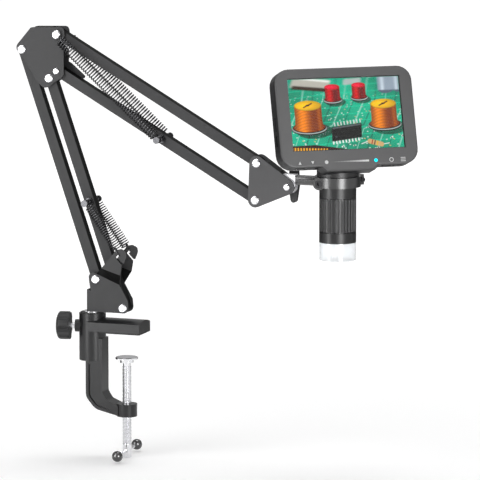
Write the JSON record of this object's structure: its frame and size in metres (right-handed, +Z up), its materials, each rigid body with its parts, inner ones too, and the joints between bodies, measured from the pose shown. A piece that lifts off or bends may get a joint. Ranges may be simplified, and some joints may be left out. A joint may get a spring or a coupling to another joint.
{
  "type": "lcd digital microscope",
  "caption": "Digital microscope with a flat display head and a fluted focusing barrel, carried by a spring-balanced scissor arm on a desk clamp.",
  "frame": {"origin": "centre of the upper jaw pad's flat underside, on the clamp screw's axis, where the desk's top surface lies", "axes": "+X along the arm from the clamp towards the scope, +Y away from the viewer of the picture, +Z up"},
  "size_m": [0.3641, 0.1035, 0.3814],
  "materials": {
    "cast_frame": "satin dark enamel over a casting",
    "jaw_rubber": "matt",
    "bush_plastic": "matt moulded",
    "arm_paint": "satin powder coat",
    "bracket_paint": "satin powder coat",
    "bolt_chrome": "polished",
    "washer_plastic": "smooth",
    "spring_steel": "blackened wire",
    "screw_chrome": "polished",
    "ball_plastic": "glossy",
    "knob_plastic": "fine grain",
    "shoe_brass": "turned",
    "knuckle_chrome": "polished",
    "wing_plastic": "smooth",
    "stem_metal": "satin",
    "collar_metal": "satin anodised",
    "collar_screw": "blackened",
    "scope_case": "fine satin",
    "ring_rubber": "fluted grip",
    "lamp_white": "clear domes",
    "board": "solder mask",
    "clear_plastic": "clear",
    "lens_glass": "polished, coated",
    "cell_metal": "black anodised",
    "bezel_plastic": "smooth satin",
    "case_plastic": "fine grain",
    "screen_glass": "polished",
    "screen_panel": "lit picture",
    "cell_wrap": "foil pouch",
    "key_plastic": "smooth"
  },
  "bodies": {
    "desk_clamp": {"clamp_frame": "cast_frame", "jaw_pad": "jaw_rubber", "post_bush": "bush_plastic"},
    "clamp_pad": {"pressure_pad": "screw_chrome"},
    "clamp_screw_body": {"clamp_screw": "screw_chrome"},
    "tommy": {"tommy_bar": "screw_chrome", "tommy_balls": "ball_plastic"},
    "lock_shoe_body": {"lock_shoe": "shoe_brass"},
    "lock_knob_body": {"lock_stud": "screw_chrome", "lock_knob": "knob_plastic"},
    "base": {"base_bracket": "bracket_paint", "swivel_post": "screw_chrome", "base_bolts": "bolt_chrome", "base_nuts": "bolt_chrome", "base_washers": "washer_plastic", "lower_springs": "spring_steel"},
    "lower_front": {"lower_front_tube": "arm_paint", "lower_front_bushes": "bush_plastic"},
    "lower_rear": {"lower_rear_tube": "arm_paint", "lower_rear_bushes": "bush_plastic", "lower_spring_bolt": "bolt_chrome"},
    "elbow": {"elbow_bracket": "bracket_paint", "elbow_bolts": "bolt_chrome", "elbow_nuts": "bolt_chrome", "elbow_washers": "washer_plastic", "upper_springs": "spring_steel"},
    "upper_top": {"upper_top_tube": "arm_paint", "upper_top_bushes": "bush_plastic"},
    "upper_low": {"upper_low_tube": "arm_paint", "upper_low_bushes": "bush_plastic", "upper_spring_bolt": "bolt_chrome"},
    "end": {"end_bracket": "bracket_paint", "end_bolts": "bolt_chrome", "end_nuts": "bolt_chrome", "end_washers": "washer_plastic", "tip_bolt": "bolt_chrome"},
    "knuckle_body": {"knuckle": "knuckle_chrome"},
    "wing": {"wing_handle": "wing_plastic"},
    "holder": {"stem": "stem_metal", "collar": "collar_metal", "collar_bolts": "collar_screw"},
    "scope": {"barrel_housing": "scope_case", "lamp_ring": "scope_case", "lamp_board": "board", "lamp_set": "lamp_white", "clear_tip": "clear_plastic", "sensor_board": "board", "rear_cover": "case_plastic", "front_bezel": "bezel_plastic", "cover_glass": "screen_glass", "display_panel": "screen_panel", "main_board": "board", "battery": "cell_wrap"},
    "focus": {"focus_ring": "ring_rubber"},
    "lens": {"lens_cell": "cell_metal", "objective_lens": "lens_glass"},
    "up_key": {"button_up": "key_plastic"},
    "down_key": {"button_down": "key_plastic"},
    "ok_key": {"button_ok": "key_plastic"},
    "menu_key": {"button_menu": "key_plastic"}
  },
  "joints": [
    {"name": "clamp_travel", "type": "slide", "parent": "desk_clamp", "child": "clamp_pad", "axis": [0, 0, 1], "range_m": [-0.033, 0.018]},
    {"name": "clamp_turn", "type": "hinge", "parent": "clamp_pad", "child": "clamp_screw_body", "pos_m": [0, 0, -0.06], "axis": [0, 0, 1], "range_deg": [-9505, 5185]},
    {"name": "tommy_slide", "type": "slide", "parent": "clamp_screw_body", "child": "tommy", "axis": [-0.0785, 0.9969, 0], "range_m": [-0.018, 0.018]},
    {"name": "lock_travel", "type": "slide", "parent": "desk_clamp", "child": "lock_shoe_body", "axis": [-0.9744, -0.225, 0], "range_m": [0, 0.002]},
    {"name": "lock_turn", "type": "hinge", "parent": "lock_shoe_body", "child": "lock_knob_body", "pos_m": [-0.05988, -0.00634, 0.004], "axis": [-0.9744, -0.225, 0], "range_deg": [-1, 721]},
    {"name": "base_swivel", "type": "hinge", "parent": "desk_clamp", "child": "base", "pos_m": [-0.0324, 0, 0.016], "axis": [0, 0, 1], "continuous": true},
    {"name": "lower_lean", "type": "hinge", "parent": "base", "child": "lower_front", "pos_m": [-0.0268, 0, 0.0469], "axis": [0, 1, 0], "range_deg": [-8, 60]},
    {"name": "lower_follow", "type": "hinge", "parent": "base", "child": "lower_rear", "pos_m": [-0.00119, 0, 0.02217], "axis": [0, 1, 0], "range_deg": [-8, 60], "deforming": ["lower_springs"]},
    {"name": "elbow_level", "type": "hinge", "parent": "lower_front", "child": "elbow", "pos_m": [-0.09579, 0, 0.24842], "axis": [0, 1, 0], "range_deg": [-60, 8]},
    {"name": "upper_raise", "type": "hinge", "parent": "elbow", "child": "upper_top", "pos_m": [-0.06215, 0, 0.26283], "axis": [0, 1, 0], "range_deg": [-45, 25]},
    {"name": "upper_follow", "type": "hinge", "parent": "elbow", "child": "upper_low", "pos_m": [-0.06341, 0, 0.23026], "axis": [0, 1, 0], "range_deg": [-45, 25], "deforming": ["upper_springs"]},
    {"name": "end_level", "type": "hinge", "parent": "upper_top", "child": "end", "pos_m": [0.12392, 0, 0.15713], "axis": [0, 1, 0], "range_deg": [-25, 45]},
    {"name": "scope_tilt", "type": "hinge", "parent": "end", "child": "knuckle_body", "pos_m": [0.1521, 0, 0.1374], "axis": [0, 1, 0], "range_deg": [-20, 45]},
    {"name": "wing_turn", "type": "hinge", "parent": "end", "child": "wing", "pos_m": [0.1521, 0, 0.1374], "axis": [0, 1, 0], "range_deg": [-90, 90]},
    {"name": "stem_roll", "type": "hinge", "parent": "knuckle_body", "child": "holder", "pos_m": [0.17, 0, 0.1434], "axis": [1, 0, 0], "range_deg": [-15, 15]},
    {"name": "scope_turn", "type": "hinge", "parent": "holder", "child": "scope", "pos_m": [0.1967, 0, 0.142], "axis": [0, 0, 1], "range_deg": [-10, 90]},
    {"name": "lens_travel", "type": "slide", "parent": "scope", "child": "lens", "axis": [0, 0, 1], "range_m": [-0.004, 0.004]},
    {"name": "focus_turn", "type": "hinge", "parent": "scope", "child": "focus", "pos_m": [0.1967, 0, 0.113], "axis": [0, 0, 1], "range_deg": [-135, 135]},
    {"name": "up_press", "type": "slide", "parent": "scope", "child": "up_key", "axis": [-0.181, 0.2402, 0.9537], "range_m": [0, 0.0006], "stiffness_N_per_m": 400},
    {"name": "down_press", "type": "slide", "parent": "scope", "child": "down_key", "axis": [-0.181, 0.2402, 0.9537], "range_m": [0, 0.0006], "stiffness_N_per_m": 400},
    {"name": "ok_press", "type": "slide", "parent": "scope", "child": "ok_key", "axis": [-0.181, 0.2402, 0.9537], "range_m": [0, 0.0006], "stiffness_N_per_m": 400},
    {"name": "menu_press", "type": "slide", "parent": "scope", "child": "menu_key", "axis": [-0.181, 0.2402, 0.9537], "range_m": [0, 0.0006], "stiffness_N_per_m": 400}
  ],
  "couplings": [
    {"joint": "clamp_turn", "follows": "clamp_travel", "rad_per_m": 5026.5},
    {"joint": "lock_turn", "follows": "lock_travel", "rad_per_m": 6283.2},
    {"joint": "lower_follow", "follows": "lower_lean", "ratio": 1},
    {"joint": "elbow_level", "follows": "lower_lean", "ratio": -1},
    {"joint": "upper_follow", "follows": "upper_raise", "ratio": 1},
    {"joint": "end_level", "follows": "upper_raise", "ratio": -1},
    {"joint": "focus_turn", "follows": "lens_travel", "rad_per_m": 588.24}
  ]
}
